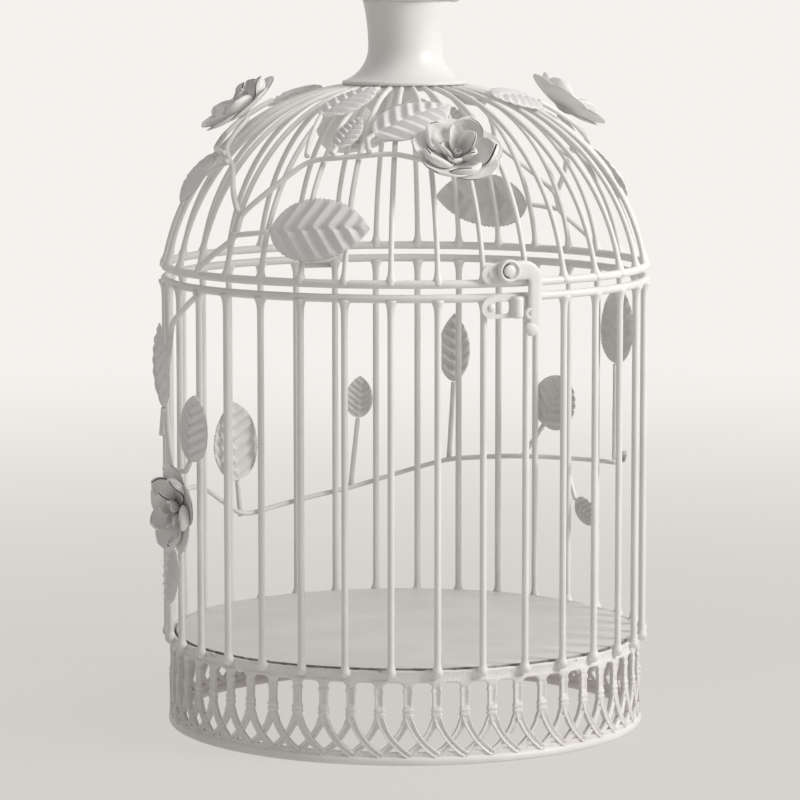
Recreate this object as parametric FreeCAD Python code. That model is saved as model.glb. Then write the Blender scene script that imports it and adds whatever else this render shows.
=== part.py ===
import FreeCAD, Part
import math
import os

# Wire birdcage card box: a pierced base, a cage of upright bars and a hinged domed lid with vines and roses.
# Millimetres, +Z up, origin at the centre of the base where it stands. The latch is at -Y, the hinge at +Y.
# A bearing is the angle in degrees from -Y towards +X, seen from above.

# Cage of bars
ring_radius = 110.0
ring_wire = 4.0
bar_wire = 3.0
bar_count = 34
body_height = 163.0
lid_gap = 2.2
weld_gap = 0.05

# Base
rim_wire = 4.6
rim_flat_depth = 0.5
skirt_height = 42.0
strip_thickness = 2.0
repeat_count = 54
segment_count = 9
seam_bearing = -22.6
foot_lap = 3.5
floor_sheet = 1.2
floor_rise = 0.7
floor_gap = 0.4
floor_wire = 3.0

# Pierced pattern of one repeat
band_height = 5.5
arch_width = 8.0
arch_corner = 2.4
leg_width = 2.7
leg_bend = 30.3
leg_bend_side = 22.9
leg_bend_rise = 25.8
sill_height = 1.5

# Dome
dome_wire = 2.4
dome_bend = 95.0
dome_lean = 8.0
crown_radius = 22.0
crown_thickness = 4.0

# Cap, its bolt and the hanging ring
cap_sheet = 1.2
neck_base_radius = 28.7
neck_lip = 1.2
waist_radius = 16.8
waist_rise = 17.0
neck_top_radius = 19.3
neck_rise = 38.0
cover_radius = 21.5
cover_edge = 1.6
cover_rise = 6.0
bolt_shank = 5.0
bolt_clearance = 0.1
collar_radius = 6.0
collar_thickness = 2.0
knob_radius = 4.6
knob_rise = 4.5
lug_thickness = 3.0
lug_radius = 4.6
lug_reach = 6.0
eye_clearance = 0.4
hanging_ring_radius = 15.0
hanging_ring_wire = 3.6
ring_rest_gap = 1.2
nut_across_flats = 10.0
nut_thickness = 4.0
bolt_tail = 2.5

# Hinge
leaf_plate = 1.2
hinge_width = 22.0
hinge_leaf_height = 4.5
hinge_tab_width = 7.0
knuckle_radius = 2.6
knuckle_gap = 0.4
pin_diameter = 2.6
pin_clearance = 0.05
pin_head_radius = 2.0
pin_head = 1.2

# Latch
plate_height = 9.4
plate_left = -12.6
latch_plate_right = 12.8
catch_plate_right = 8.0
plate_edge_lap = 0.5
rivet_from_left = 4.4
rivet_shank = 2.0
rivet_head_radius = 1.7
rivet_head = 1.0
pivot_x = -0.9
pivot_rise = 1.5
pivot_shank = 3.0
pivot_head_radius = 3.0
pivot_head = 1.0
hook_thickness = 2.8
hook_gap = 0.3
hook_eye_radius = 5.0
hook_arm_x = 11.8
hook_arm_width = 6.2
hook_bar_height = 8.4
hook_drop = 25.5
hook_tip_radius = 3.3
hook_tip_offset = 1.6
hook_loop_radius = 2.7
hook_loop_hole = 1.2
hook_loop_offset = 2.2
hook_loop_rise = 6.6
post_radius = 2.8
post_forward = 1.0
post_arm_gap = 0.5
window_width = 7.4
window_height = 5.6
window_corner = 1.6
window_offset = 0.2

# Vines, leaves and roses
stem_wire = 2.6
stem_clearance = 0.5
stem_step = 9.0
leaf_sheet = 0.8
leaf_bend = 80.0
leaf_fold = 10.0
leaf_widest = 0.45
leaf_margin = 1.0
leaf_joint = 0.4
stem_seat = 0.08
rose_calyx = 2.0
rose_shank = 3.0
rose_fit = 0.1
petal_count = 5
petal_sheet = 0.9
outer_petal_radius = 21.5
outer_petal_lobe = 11.0
outer_petal_rise = 4.5
middle_petal_radius = 16.5
middle_petal_lobe = 8.0
middle_petal_rise = 7.0
inner_petal_radius = 10.5
inner_petal_lobe = 4.2
inner_petal_rise = 11.0
bud_radius = 3.6
bud_height = 3.0
bud_hollow = 2.0
garland_rose_press = 0.7
front_rose_lean = 13.0

# Places worked out from the sizes above
rim_z = rim_wire / 2 - rim_flat_depth
strip_bottom = rim_z + rim_wire / 2
panel_half = math.pi / repeat_count
strip_outer = (ring_radius - bar_wire / 2 - weld_gap) * math.cos(panel_half)
strip_inner = strip_outer - strip_thickness
strip_middle = strip_outer - strip_thickness / 2
cage_ring_z = skirt_height + body_height
lid_ring_z = cage_ring_z + ring_wire + lid_gap
dome_centre_r = ring_radius - dome_bend * math.cos(math.radians(dome_lean))
dome_centre_z = lid_ring_z - dome_bend * math.sin(math.radians(dome_lean))
ring_outer = ring_radius + ring_wire / 2
plate_back = ring_outer + weld_gap
plate_front = plate_back + leaf_plate
hinge_y = plate_back + knuckle_radius
hinge_z = (cage_ring_z + lid_ring_z) / 2
latch_plate_z = lid_ring_z - plate_edge_lap + plate_height / 2
pivot_z = latch_plate_z + pivot_rise
catch_plate_z = cage_ring_z + plate_edge_lap - plate_height / 2
stem_lift = dome_wire / 2 + stem_wire / 2 + stem_clearance
stem_body_lift = bar_wire / 2 + stem_wire / 2 + stem_clearance


def vector(x, y, z):
    return FreeCAD.Vector(x, y, z)


UP = vector(0, 0, 1)


def save(name, solids):
    """Write one node: a solid, or several separate solids as a group."""
    group = solids if isinstance(solids, list) else [solids]
    shape = group[0] if len(group) == 1 else Part.makeCompound(group)
    shape.exportStep("parts/" + name + ".step")


def turned(shape, bearing):
    """Copy a shape that was made on the -Y side to another bearing."""
    copy = shape.copy()
    copy.rotate(vector(0, 0, 0), UP, bearing)
    return copy


def revolve(points):
    """Turn a closed outline of points and arcs about the Z axis."""
    return Part.Face(outline(points)).revolve(vector(0, 0, 0), UP, 360)


def outline(points):
    """Closed wire through points; a pair (middle, end) in the list is an arc through both."""
    edges = []
    last = points[0]
    for item in points[1:] + [points[0]]:
        if isinstance(item, tuple):
            edges.append(Part.Arc(last, item[0], item[1]).toShape())
            last = item[1]
        elif last.distanceToPoint(item) > 1e-6:
            edges.append(Part.makeLine(last, item))
            last = item
    return Part.Wire(edges)


def profile(r, z):
    """Point of a profile that is turned about the Z axis."""
    return vector(r, 0, z)


def torus(radius, wire, z):
    return Part.makeTorus(radius, wire / 2, vector(0, 0, z), UP)


def dome_height(r, lift):
    """Height of the dome at a distance from the axis, at a lift above the middle of its wires."""
    return dome_centre_z + math.sqrt((dome_bend + lift) ** 2 - (r - dome_centre_r) ** 2)


def dome_point(bearing, slope, lift):
    """Point on the dome; slope is the angle round the dome's bend, up from level."""
    r = dome_centre_r + (dome_bend + lift) * math.cos(math.radians(slope))
    z = dome_centre_z + (dome_bend + lift) * math.sin(math.radians(slope))
    return vector(r * math.sin(math.radians(bearing)), -r * math.cos(math.radians(bearing)), z)


def body_point(bearing, z, lift):
    """Point beside the bars; lift is measured outwards from the middle of the bars."""
    r = ring_radius + lift
    return vector(r * math.sin(math.radians(bearing)), -r * math.cos(math.radians(bearing)), z)


# Base


def leg_z(side, radius, u):
    """Height of a leg's edge at u, on the lower half of the circle of its bend."""
    return strip_bottom + leg_bend_rise - math.sqrt(radius ** 2 - (u - side) ** 2)


def leg_edge(side, radius, start, end):
    """Arc along a leg's edge from u = start to u = end, as (middle, end) points of the flat pattern."""
    middle = (start + end) / 2
    return (flat(middle, leg_z(side, radius, middle)), flat(end, leg_z(side, radius, end)))


def flat(u, z):
    """Point of the flat pattern, in a plane just outside one panel."""
    return vector(u, -strip_outer - strip_thickness, z)


def arch_outline():
    """Opening between two columns: round corners above, the V of the crossing legs below."""
    half = arch_width / 2
    upper = leg_bend - leg_width / 2
    top = skirt_height - band_height
    spring = top - arch_corner
    level = half - arch_corner
    bow = arch_corner * math.sqrt(0.5)
    left_foot = flat(-half, leg_z(leg_bend_side, upper, -half))
    left_corner = (flat(-level - bow, spring + bow), flat(-level, top))
    right_corner = (flat(level + bow, spring + bow), flat(half, spring))
    right_foot = flat(half, leg_z(-leg_bend_side, upper, half))
    to_middle = leg_edge(-leg_bend_side, upper, half, 0)
    to_left = leg_edge(leg_bend_side, upper, 0, -half)
    upper_side = [left_foot, flat(-half, spring), left_corner, flat(level, top), right_corner]
    return outline(upper_side + [right_foot, to_middle, to_left])


def kite_outline():
    """Opening under a column, between its own two legs and those of its neighbours."""
    pitch = 2 * strip_outer * math.tan(panel_half)
    upper = leg_bend - leg_width / 2
    lower = leg_bend + leg_width / 2
    own = leg_bend_side + pitch / 2
    next_leg = pitch / 2 - leg_bend_side
    corner = pitch / 2 - leg_bend * leg_width / 2 / leg_bend_side
    apex = flat(0, leg_z(own, lower, 0))
    right = leg_edge(own, lower, 0, corner)
    bottom = leg_edge(next_leg, upper, corner, 0)
    left = leg_edge(-next_leg, upper, 0, -corner)
    back = leg_edge(-own, lower, -corner, 0)
    return outline([apex, right, bottom, left, back])


def foot_outline():
    """Small three-sided opening under the crossing of two legs."""
    lower = leg_bend + leg_width / 2
    sill = strip_bottom + sill_height
    reach = leg_bend_side - math.sqrt(lower ** 2 - (leg_bend_rise - sill_height) ** 2)
    apex = flat(0, leg_z(leg_bend_side, lower, 0))
    right = leg_edge(leg_bend_side, lower, 0, reach)
    back = leg_edge(-leg_bend_side, lower, -reach, 0)
    return outline([apex, right, flat(-reach, sill), back])


def base_corner(radius, angle):
    return vector(radius * math.sin(angle), -radius * math.cos(angle), strip_bottom)


def skirt_segment():
    """One length of the pierced strip, bent panel by panel round the base."""
    panels = repeat_count // segment_count
    cutter_depth = 3 * strip_thickness
    corner_bearings = [(k - panels / 2) * 2 * panel_half for k in range(panels + 1)]
    outer = strip_outer / math.cos(panel_half)
    inner = strip_inner / math.cos(panel_half)
    front = [base_corner(outer, b) for b in corner_bearings]
    back = [base_corner(inner, b) for b in reversed(corner_bearings)]
    strip = Part.Face(outline(front + back)).extrude(vector(0, 0, skirt_height - strip_bottom))
    arch = Part.Face(arch_outline()).extrude(vector(0, cutter_depth, 0))
    kite = Part.Face(kite_outline()).extrude(vector(0, cutter_depth, 0))
    foot = Part.Face(foot_outline()).extrude(vector(0, cutter_depth, 0))
    cutters = [turned(kite, math.degrees(b)) for b in corner_bearings]
    for k in range(panels):
        bearing = math.degrees(corner_bearings[k] + panel_half)
        cutters.append(turned(arch, bearing))
        cutters.append(turned(foot, bearing))
    return strip.cut(cutters).Solids[0]


def base_skirt():
    step = 360 / segment_count
    segment = skirt_segment()
    return [turned(segment, seam_bearing + (k + 0.5) * step) for k in range(segment_count)]


def base_rim():
    """Round wire under the strip, flattened where it stands."""
    ring = torus(strip_middle, rim_wire, rim_z)
    below = Part.makeCylinder(strip_middle + rim_wire, rim_wire, vector(0, 0, -rim_wire))
    return ring.cut(below).Solids[0]


def floor_tray():
    floor_radius = strip_inner - floor_gap
    return Part.makeCylinder(floor_radius, floor_sheet, vector(0, 0, floor_top() - floor_sheet))


def floor_top():
    return skirt_height + floor_rise


def floor_ring():
    """Wire inside the strip that the floor lies on."""
    z = floor_top() - floor_sheet - floor_wire / 2
    return torus(strip_inner - weld_gap - floor_wire / 2, floor_wire, z)


# Cage


def cage_ring():
    return torus(ring_radius, ring_wire, cage_ring_z)


def cage_bars():
    """Upright wires lapped on the strip and shaped to the underside of the cage ring."""
    foot = skirt_height - foot_lap
    bar = Part.makeCylinder(bar_wire / 2, cage_ring_z - foot, vector(0, -ring_radius, foot))
    bar = bar.cut(cage_ring()).Solids[0]
    return [turned(bar, (k + 0.5) * 360 / bar_count) for k in range(bar_count)]


# Lid


def lid_ring():
    return torus(ring_radius, ring_wire, lid_ring_z)


def crown_z():
    return dome_height(crown_radius, 0)


def crown_plate():
    """Disc that the dome wires end on, with the hole of the cap's bolt."""
    bottom = vector(0, 0, crown_z() - crown_thickness / 2)
    return solid_crown().cut(Part.makeCylinder(bolt_shank / 2 + bolt_clearance, crown_thickness, bottom))


def dome_wires():
    """Bent wires from the lid ring to the edge of the crown plate."""
    centre = vector(0, -dome_centre_r, dome_centre_z)
    start = dome_point(0, dome_lean, 0)
    lean = math.radians(dome_lean)
    direction = vector(0, math.sin(lean), math.cos(lean))
    inside_crown = crown_radius - crown_thickness / 2
    top_slope = math.degrees(math.acos((inside_crown - dome_centre_r) / dome_bend))
    section = Part.Face(Part.Wire(Part.makeCircle(dome_wire / 2, start, direction)))
    wire = section.revolve(centre, vector(-1, 0, 0), top_slope - dome_lean)
    wire = wire.cut([lid_ring(), solid_crown()]).Solids[0]
    return [turned(wire, (k + 0.5) * 360 / bar_count) for k in range(bar_count)]


def solid_crown():
    return Part.makeCylinder(crown_radius, crown_thickness, vector(0, 0, crown_z() - crown_thickness / 2))


def neck_base_z():
    """The neck's foot stands on the dome wires."""
    return dome_height(neck_base_radius - cap_sheet, dome_wire / 2) + weld_gap


def neck_top_z():
    return neck_base_z() + neck_rise


def flare(wall):
    """Concave flare from the foot to the waist, and the slow flare above it, moved inwards by a wall."""
    z = neck_base_z()
    run = neck_base_radius - waist_radius
    rise = waist_rise - neck_lip
    low_bend = (run ** 2 + rise ** 2) / (2 * run)
    spread = neck_top_radius - waist_radius
    high_bend = (spread ** 2 + (neck_rise - waist_rise) ** 2) / (2 * spread)
    low = (waist_radius + low_bend, z + waist_rise, low_bend + wall)
    high = (waist_radius + high_bend, z + waist_rise, high_bend + wall)
    return low, high


def flare_point(bend, z):
    """Point of a bend whose middle lies outside the neck."""
    return profile(bend[0] - math.sqrt(bend[2] ** 2 - (z - bend[1]) ** 2), z)


def flare_arc(bend, start_z, end_z):
    return (flare_point(bend, (start_z + end_z) / 2), flare_point(bend, end_z))


def cap_neck():
    """Spun neck, open at both ends."""
    z = neck_base_z()
    lip = z + neck_lip
    waist = z + waist_rise
    top = neck_top_z()
    low, high = flare(0)
    low_inner, high_inner = flare(cap_sheet)
    outside = [profile(neck_base_radius, z), profile(neck_base_radius, lip)]
    outside += [flare_arc(low, lip, waist), flare_arc(high, waist, top)]
    foot = neck_base_radius - cap_sheet
    inside = [flare_point(high_inner, top), flare_arc(high_inner, top, waist)]
    inside += [flare_arc(low_inner, waist, lip), profile(foot, lip - neck_lip / 2), profile(foot, z)]
    return revolve(outside + inside)


def cap_cover():
    """Turned cover on the neck, with an overhanging edge and a hole for the bolt."""
    z = neck_top_z()
    hole = bolt_shank / 2 + bolt_clearance
    edge = profile(cover_radius, z + cover_edge)
    shoulder = profile(collar_radius, z + cover_rise)
    middle_r = collar_radius + (cover_radius - collar_radius) * math.sqrt(0.5)
    middle = profile(middle_r, z + cover_edge + (cover_rise - cover_edge) * math.sqrt(0.5))
    foot = [profile(hole, z), profile(cover_radius, z), edge]
    return revolve(foot + [(middle, shoulder), profile(hole, z + cover_rise)])


def collar_z():
    return neck_top_z() + cover_rise


def eye_z():
    """Height of the eye that the hanging ring turns in."""
    return collar_z() + collar_thickness + knob_rise + lug_reach


def eye_bolt():
    """Bolt through the cap: collar, knob and a flat lug with the eye."""
    low = crown_z() - crown_thickness / 2 - nut_thickness - bolt_tail
    seat = collar_z()
    top = seat + collar_thickness
    shank = [profile(0, low), profile(bolt_shank / 2, low), profile(bolt_shank / 2, seat)]
    collar = [profile(collar_radius, seat), profile(collar_radius, top), profile(knob_radius, top)]
    crest = profile(lug_thickness / 2, top + knob_rise)
    bulge = profile(knob_radius, top + knob_rise / 2)
    turned_bolt = revolve(shank + collar + [(bulge, crest), profile(0, top + knob_rise)])
    front = vector(0, -lug_thickness / 2, eye_z())
    lug = Part.makeCylinder(lug_radius, lug_thickness, front, vector(0, 1, 0))
    tang_size = (2 * lug_radius, lug_thickness, eye_z() - top)
    tang = Part.makeBox(*tang_size, vector(-lug_radius, -lug_thickness / 2, top))
    keep = Part.makeCylinder(knob_radius, eye_z() - top, vector(0, 0, top))
    eye_radius = hanging_ring_wire / 2 + eye_clearance
    eye = Part.makeCylinder(eye_radius, lug_thickness, front, vector(0, 1, 0))
    return turned_bolt.fuse([lug, tang.common(keep)]).removeSplitter().cut(eye).Solids[0]


def ring_drop():
    """Angle below level at which the loose ring lies on the cover's edge."""
    fall = eye_z() - neck_top_z() - cover_edge - hanging_ring_wire - ring_rest_gap
    return math.asin(2 * hanging_ring_radius * fall / (cover_radius ** 2 + fall ** 2))


def hanging_ring():
    """Loose ring through the eye, fallen to the side."""
    eye = vector(0, 0, eye_z())
    middle = eye + vector(hanging_ring_radius, 0, 0)
    ring = Part.makeTorus(hanging_ring_radius, hanging_ring_wire / 2, middle)
    ring.rotate(eye, vector(0, 1, 0), math.degrees(ring_drop()))
    return ring


def crown_nut():
    z = crown_z() - crown_thickness / 2 - nut_thickness
    corner = nut_across_flats / 2 / math.cos(math.pi / 6)
    points = [round_point(corner, k * math.pi / 3) for k in range(6)]
    blank = Part.Face(outline(points)).extrude(vector(0, 0, nut_thickness))
    blank = blank.cut(Part.makeCylinder(bolt_shank / 2 + bolt_clearance, nut_thickness))
    blank.translate(vector(0, 0, z))
    return blank


# Hinge


def knuckle(start, length):
    """Tube round the hinge pin, along X."""
    tube = Part.makeCylinder(knuckle_radius, length, vector(start, hinge_y, hinge_z), vector(1, 0, 0))
    bore_radius = pin_diameter / 2 + pin_clearance
    return tube, Part.makeCylinder(bore_radius, length, vector(start, hinge_y, hinge_z), vector(1, 0, 0))


def hinge_leaf(knuckles, side):
    """Flat leaf beside a ring with its knuckles; side is 1 above the pin and -1 below it."""
    edge = knuckle_radius + knuckle_gap
    low = hinge_z + min(side * edge, side * (edge + hinge_leaf_height))
    corner = vector(-hinge_width / 2, plate_back, low)
    leaf = Part.makeBox(hinge_width, leaf_plate, hinge_leaf_height, corner)
    bores = []
    for start, length in knuckles:
        tube, bore = knuckle(start, length)
        tab_corner = vector(start, plate_back, hinge_z + min(0, side * edge))
        tab = Part.makeBox(length, leaf_plate, edge, tab_corner)
        leaf = leaf.fuse([tab, tube])
        bores.append(bore)
    return leaf.removeSplitter().cut(bores).Solids[0]


def hinge_leaf_lid():
    return hinge_leaf([(-hinge_tab_width / 2, hinge_tab_width)], 1)


def hinge_leaf_body():
    inner = hinge_tab_width / 2 + knuckle_gap
    length = hinge_width / 2 - inner
    return hinge_leaf([(-hinge_width / 2, length), (inner, length)], -1)


def hinge_pin():
    """Pin with a round head at each end."""
    half = hinge_width / 2 + weld_gap
    along = vector(1, 0, 0)
    shaft = Part.makeCylinder(pin_diameter / 2, 2 * half, vector(-half, hinge_y, hinge_z), along)
    left = Part.makeCylinder(pin_head_radius, pin_head, vector(-half - pin_head, hinge_y, hinge_z), along)
    right = Part.makeCylinder(pin_head_radius, pin_head, vector(half, hinge_y, hinge_z), along)
    return shaft.fuse([left, right]).removeSplitter()


# Latch


def front_plate(left, right, z, round_right):
    """Plate with a round left end, standing in front of a ring."""
    half = plate_height / 2
    y = -plate_front
    turn = (vector(left, y, z), vector(left + half, y, z + half))
    points = [vector(left + half, y, z - half), turn]
    if round_right:
        turn = (vector(right, y, z), vector(right - half, y, z - half))
        points += [vector(right - half, y, z + half), turn]
    else:
        points += [vector(right, y, z + half), vector(right, y, z - half)]
    return Part.Face(outline(points)).extrude(vector(0, leaf_plate, 0))


def front_hole(radius, x, z, y=-plate_front, depth=leaf_plate):
    return Part.makeCylinder(radius, depth, vector(x, y, z), vector(0, 1, 0))


def rivet_x():
    return plate_left + rivet_from_left


def latch_plate():
    plate = front_plate(plate_left, latch_plate_right, latch_plate_z, True)
    rivet_hole = front_hole(rivet_shank / 2 + pin_clearance, rivet_x(), latch_plate_z)
    return plate.cut([rivet_hole, front_hole(pivot_shank / 2 + pin_clearance, pivot_x, pivot_z)])


def catch_plate():
    """Plate under the cage ring with a rounded window beside the post."""
    plate = front_plate(plate_left, catch_plate_right, catch_plate_z, False)
    rivet_hole = front_hole(rivet_shank / 2 + pin_clearance, rivet_x(), catch_plate_z)
    right = post_x() - post_radius - window_offset
    corner = vector(right - window_width, -plate_front, catch_plate_z - window_height / 2)
    window = Part.makeBox(window_width, leaf_plate, window_height, corner)
    through = [edge for edge in window.Edges if edge.BoundBox.YLength > leaf_plate / 2]
    return plate.cut([rivet_hole, window.makeFillet(window_corner, through)])


def post_x():
    """The post stands clear of the loop on the hook's arm."""
    return hook_arm_x - hook_loop_offset - hook_loop_radius - post_arm_gap - post_radius


def catch_post():
    """Rolled upright post on the front of the catch plate that the hook closes against."""
    y = -plate_front - post_forward
    low = catch_plate_z - plate_height / 2
    post = Part.makeCylinder(post_radius, plate_height, vector(post_x(), y, low))
    block = vector(post_x() - post_radius, -plate_front, low)
    return post.cut(Part.makeBox(2 * post_radius, 2 * post_radius, plate_height, block)).Solids[0]


def rivet(x, z, shank, head_radius, head, grip):
    """Domed rivet; its shank goes back through a grip of the given thickness to the plate's back."""
    low = vector(0, 0, 0)
    dome = (head_radius ** 2 + head ** 2) / (2 * head)
    half = math.asin(head_radius / dome) / 2
    shoulder = profile(dome * math.sin(half), grip + head - dome * (1 - math.cos(half)))
    crown = (shoulder, profile(0, grip + head))
    side = [profile(shank / 2, 0), profile(shank / 2, grip), profile(head_radius, grip)]
    solid = revolve([low] + side + [crown])
    solid.rotate(low, vector(1, 0, 0), 90)
    solid.translate(vector(x, -plate_back, z))
    return solid


def latch_rivet():
    return rivet(rivet_x(), latch_plate_z, rivet_shank, rivet_head_radius, rivet_head, leaf_plate)


def catch_rivet():
    return rivet(rivet_x(), catch_plate_z, rivet_shank, rivet_head_radius, rivet_head, leaf_plate)


def latch_pivot():
    """Rivet that the hook turns on; its head clears the hook by the hook's gap."""
    grip = leaf_plate + hook_gap + hook_thickness + hook_gap
    return rivet(pivot_x, pivot_z, pivot_shank, pivot_head_radius, pivot_head, grip)


def latch_hook():
    """Swinging hook: an eye, a bar to the right, and an arm that drops past a loop to a knobbed tip."""
    y = -plate_front - hook_gap - hook_thickness
    z = pivot_z
    left = hook_arm_x - hook_arm_width / 2
    right = hook_arm_x + hook_arm_width / 2
    half = hook_bar_height / 2
    tip_z = z - hook_drop
    depth = vector(0, hook_thickness, 0)
    bend = half + hook_arm_width - half / 2
    shoulder = vector(right - bend, y, z + half)
    corner = vector(right - bend * (1 - math.sqrt(0.5)), y, z + half - bend * (1 - math.sqrt(0.5)))
    elbow = (corner, vector(right, y, z + half - bend))
    arm = [vector(pivot_x, y, z - half), vector(pivot_x, y, z + half), shoulder, elbow]
    arm += [vector(right, y, tip_z), vector(left, y, tip_z), vector(left, y, z - half)]
    body = Part.Face(outline(arm)).extrude(depth)
    eye = front_hole(hook_eye_radius, pivot_x, z, y, hook_thickness)
    end = front_hole(hook_arm_width / 2, hook_arm_x, tip_z, y, hook_thickness)
    tip = front_hole(hook_tip_radius, hook_arm_x - hook_tip_offset, tip_z, y, hook_thickness)
    loop_x = hook_arm_x - hook_loop_offset
    loop = front_hole(hook_loop_radius, loop_x, tip_z + hook_loop_rise, y, hook_thickness)
    hole = front_hole(pivot_shank / 2 + pin_clearance, pivot_x, z, y, hook_thickness)
    loop_hole = front_hole(hook_loop_hole, loop_x, tip_z + hook_loop_rise, y, hook_thickness)
    return body.fuse([eye, end, tip, loop]).removeSplitter().cut([hole, loop_hole]).Solids[0]


# Vines


def stem(points):
    """Bent round wire through points, with a mitre at each small turn."""
    path = Part.makePolygon(points)
    section = Part.Wire(Part.makeCircle(stem_wire / 2, points[0], points[1] - points[0]))
    return path.makePipeShell([section], True, False, 1)


def between(places, steps):
    """Add places evenly between the given ones, so that no two are further apart than the steps."""
    route = [places[0]]
    for start, end in zip(places, places[1:]):
        count = max(math.ceil(abs(b - a) / step) for a, b, step in zip(start, end, steps))
        for k in range(1, count + 1):
            route.append([a + (b - a) * k / count for a, b in zip(start, end)])
    return route


def dome_stem(places):
    """Stem over the dome through (bearing, slope, lift above the resting place)."""
    return stem([dome_place(place) for place in between(places, (stem_step, stem_step))])


def body_stem(places):
    """Stem round the bars through (bearing, share of the body's height, lift above the resting place)."""
    return stem([body_place(place) for place in between(places, (stem_step, 1))])


def dome_place(place):
    """Middle of a stem on the dome; the lift is counted in thicknesses of the stem."""
    return dome_point(place[0], place[1], stem_lift + place[2] * stem_wire)


def body_place(place):
    """Middle of a stem beside the bars; the lift is counted in thicknesses of the stem."""
    return body_point(place[0], skirt_height + place[1] * body_height, stem_body_lift + place[2] * stem_wire)


def leaf(base, tip, breadth, face):
    """Pressed leaf from its base to its tip, folded along the middle and bent outwards."""
    along = tip - base
    length = along.Length
    half = breadth * length / 2
    drop = (half + leaf_margin) * math.tan(math.radians(leaf_fold))
    reach = half + leaf_margin
    axis_z = -math.sqrt(leaf_bend ** 2 - (length / 2) ** 2)
    top = axis_z + leaf_bend
    ridge = [(-reach, top - drop), (0, top), (reach, top - drop)]
    under = [(y, z - leaf_sheet) for y, z in reversed(ridge)]
    section = [vector(length / 2, y, z) for y, z in ridge + under]
    turn = math.degrees(math.asin(length / 2 / leaf_bend)) + leaf_fold
    sheet = Part.Face(outline(section))
    sheet.rotate(vector(length / 2, 0, axis_z), vector(0, 1, 0), -turn)
    sheet = sheet.revolve(vector(length / 2, 0, axis_z), vector(0, 1, 0), 2 * turn)
    blank = Part.Face(leaf_outline(length, half)).extrude(vector(0, 0, 4 * leaf_bend))
    blank.translate(vector(0, 0, -2 * leaf_bend))
    solid = sheet.common(blank).Solids[0]
    solid.Placement = FreeCAD.Placement(base, FreeCAD.Rotation(along, face.cross(along), face, "XZY"))
    return solid


def leaf_outline(length, half):
    """Pointed oval: on each side one arc from the base to the widest place and one on to the tip."""
    wide = leaf_widest * length
    rear_bend = (wide ** 2 + half ** 2) / (2 * half)
    fore_bend = ((length - wide) ** 2 + half ** 2) / (2 * half)
    rear = vector(wide / 2, half - rear_bend + math.sqrt(rear_bend ** 2 - (wide / 2) ** 2), 0)
    fore_run = (length - wide) / 2
    fore = vector(wide + fore_run, half - fore_bend + math.sqrt(fore_bend ** 2 - fore_run ** 2), 0)
    mirrored_fore = vector(fore.x, -fore.y, 0)
    mirrored_rear = vector(rear.x, -rear.y, 0)
    base = vector(0, 0, 0)
    right = [(mirrored_fore, vector(wide, -half, 0)), (mirrored_rear, base)]
    return outline([base, (rear, vector(wide, half, 0)), (fore, vector(length, 0, 0))] + right)


def dome_leaf(base, tip, breadth):
    """Leaf over the dome, from the end of its stalk to a tip, both (bearing, slope, lift)."""
    bearing = (base[0] + tip[0]) / 2
    slope = (base[1] + tip[1]) / 2
    face = dome_point(bearing, slope, 1) - dome_point(bearing, slope, 0)
    return stalked_leaf(dome_place(base), dome_place(tip), breadth, face)


def body_leaf(base, tip, breadth):
    """Leaf beside the bars, from the end of its stalk to a tip, both (bearing, share of height, lift)."""
    bearing = (base[0] + tip[0]) / 2
    face = body_point(bearing, 0, 1) - body_point(bearing, 0, 0)
    return stalked_leaf(body_place(base), body_place(tip), breadth, face)


def stalked_leaf(stalk_end, tip, breadth, face):
    """Leaf whose base butts against the end of its stalk, level with the stalk's middle."""
    ahead = (tip - stalk_end).normalize() * leaf_joint
    seat = face * (leaf_sheet / 2)
    return leaf(stalk_end + seat + ahead, tip + seat, breadth, face)


# Roses


def whorl(radius, lobe, seat, rise, turn):
    """Ring of round petals on a cone, from the shank's hole out to the radius."""
    hole = rose_shank / 2 + rose_fit
    slope = rise / (radius - hole)
    outer = 2 * radius
    high = seat + slope * (outer - hole)
    cone = [profile(hole, seat), profile(outer, high), profile(outer, high + petal_sheet)]
    sheet = revolve(cone + [profile(hole, seat + petal_sheet)])
    spread = radius - lobe
    notch_angle = math.pi / petal_count
    notch_r = spread * math.cos(notch_angle) + math.sqrt(lobe ** 2 - (spread * math.sin(notch_angle)) ** 2)
    petals = [round_point(notch_r, -notch_angle)]
    for k in range(petal_count):
        middle = 2 * k * notch_angle
        petals.append((round_point(radius, middle), round_point(notch_r, middle + notch_angle)))
    blank = Part.Face(outline(petals)).extrude(vector(0, 0, 4 * radius))
    blank.translate(vector(0, 0, seat - radius))
    petals = sheet.common(blank).Solids[0]
    petals.rotate(vector(0, 0, 0), UP, turn)
    return petals


def round_point(radius, angle):
    return vector(radius * math.cos(angle), radius * math.sin(angle), 0)


def rose_outer(press):
    """Outer petals with the cone-shaped calyx that sits on the stem; the press is the share of rise left."""
    rise = press * outer_petal_rise
    petals = whorl(outer_petal_radius, outer_petal_lobe, 0, rise, 0)
    hole = rose_shank / 2 + rose_fit
    flank = hole + outer_petal_rise
    weld = petal_sheet / 2
    rim = weld + (flank - hole) * rise / (outer_petal_radius - hole)
    calyx = [profile(0, -rose_calyx), profile(stem_wire / 2, -rose_calyx), profile(flank, rim)]
    calyx += [profile(hole, weld), profile(hole, 0), profile(0, 0)]
    return petals.fuse(revolve(calyx)).removeSplitter().Solids[0]


def rose_middle(press):
    """Petals that stand in the notches of the outer ones."""
    seat = petal_sheet + weld_gap
    rise = press * middle_petal_rise
    return whorl(middle_petal_radius, middle_petal_lobe, seat, rise, 180 / petal_count)


def rose_inner(press):
    """Upright paddle-shaped petals above the outer ones."""
    seat = 2 * (petal_sheet + weld_gap)
    return whorl(inner_petal_radius, inner_petal_lobe, seat, press * inner_petal_rise, 0)


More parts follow.
